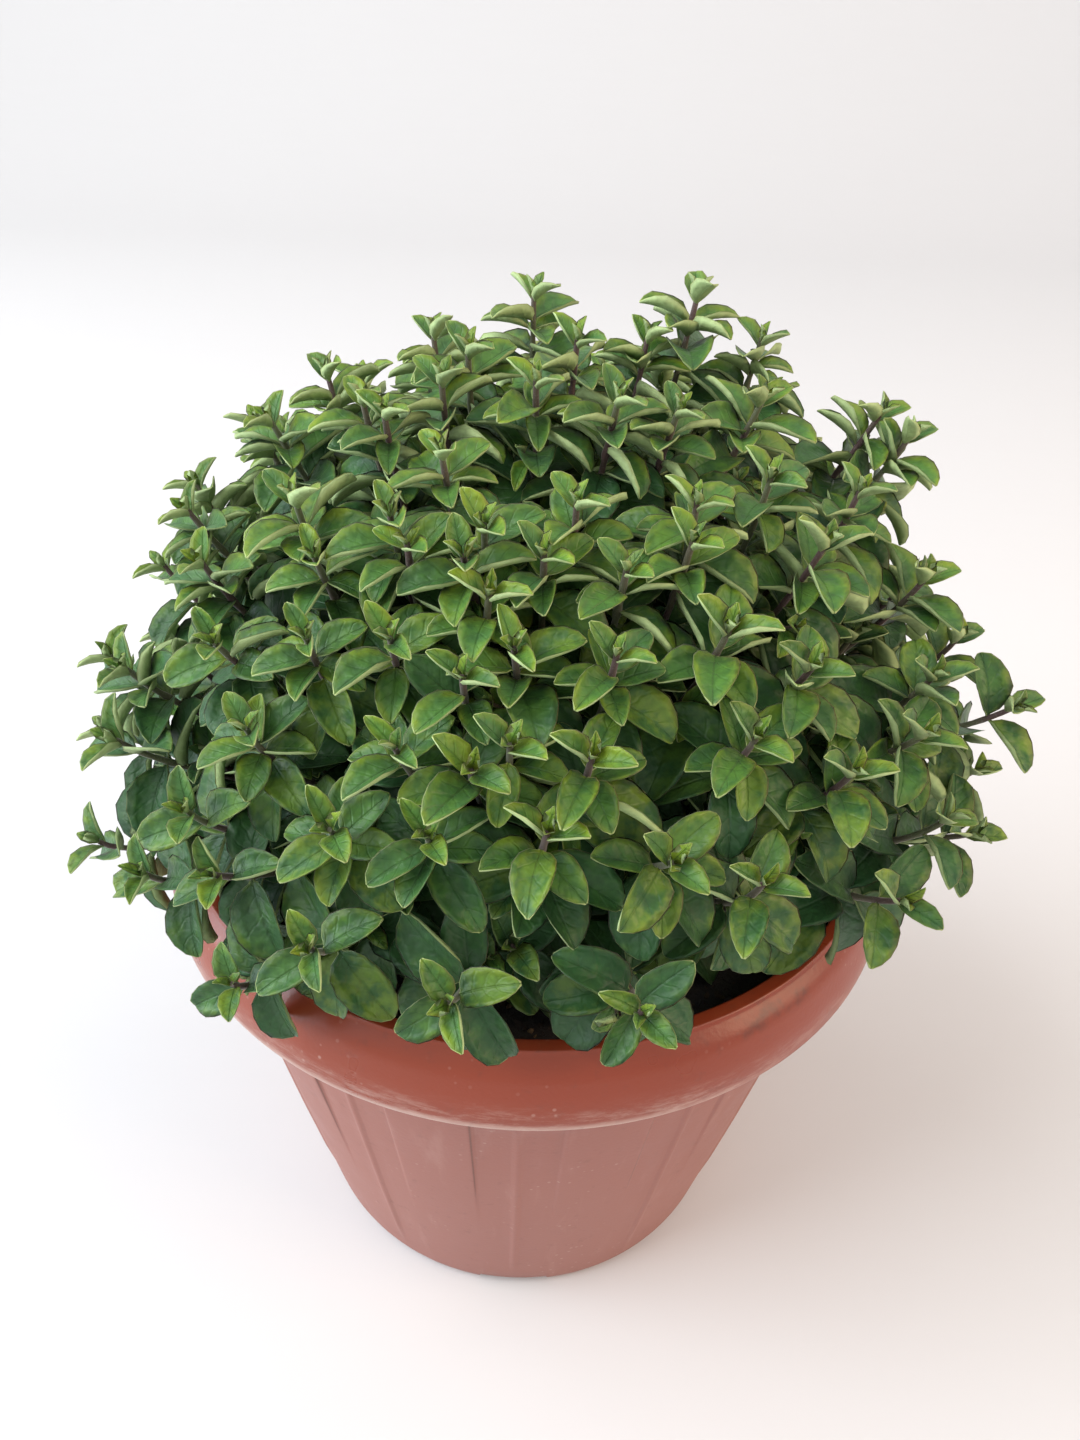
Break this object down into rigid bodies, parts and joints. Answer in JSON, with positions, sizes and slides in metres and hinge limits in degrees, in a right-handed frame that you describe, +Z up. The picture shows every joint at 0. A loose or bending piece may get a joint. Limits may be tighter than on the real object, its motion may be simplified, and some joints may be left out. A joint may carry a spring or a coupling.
{
  "type": "potted oregano plant",
  "caption": "Bushy Greek oregano herb with small paired leaves on square stems, standing in soil in a terracotta-coloured plastic pot with a rounded collar.",
  "frame": {"origin": "on the surface that the pot stands on, under the middle of the plant's outline, which is the pot's axis within 2 mm", "axes": "+Z up along the pot's axis; -Y towards the side that the picture shows; +X to the picture's right"},
  "size_m": [0.2404, 0.2291, 0.2818],
  "materials": {
    "pot_plastic": "terracotta-coloured moulded plastic, satin, slightly scuffed",
    "potting_soil": "matte",
    "oregano_green": "matte green herb leaves and purple-brown stems"
  },
  "bodies": {
    "root": {"pot": "pot_plastic", "soil": "potting_soil", "shoot_01": "oregano_green", "shoot_02": "oregano_green", "shoot_03": "oregano_green", "shoot_04": "oregano_green", "shoot_05": "oregano_green", "shoot_06": "oregano_green", "shoot_07": "oregano_green", "shoot_08": "oregano_green", "shoot_09": "oregano_green", "shoot_10": "oregano_green", "shoot_11": "oregano_green", "shoot_12": "oregano_green", "shoot_13": "oregano_green", "shoot_14": "oregano_green", "shoot_15": "oregano_green", "shoot_16": "oregano_green", "shoot_17": "oregano_green", "shoot_18": "oregano_green", "shoot_19": "oregano_green", "shoot_20": "oregano_green", "shoot_21": "oregano_green", "shoot_22": "oregano_green", "shoot_23": "oregano_green", "shoot_24": "oregano_green", "shoot_25": "oregano_green", "shoot_26": "oregano_green", "shoot_27": "oregano_green", "shoot_28": "oregano_green", "shoot_29": "oregano_green", "shoot_30": "oregano_green", "shoot_31": "oregano_green", "shoot_32": "oregano_green", "shoot_33": "oregano_green", "shoot_34": "oregano_green", "shoot_35": "oregano_green", "shoot_36": "oregano_green", "shoot_37": "oregano_green", "shoot_38": "oregano_green", "shoot_39": "oregano_green", "shoot_40": "oregano_green", "shoot_41": "oregano_green", "shoot_42": "oregano_green", "shoot_43": "oregano_green", "shoot_44": "oregano_green", "shoot_45": "oregano_green"}
  },
  "joints": []
}
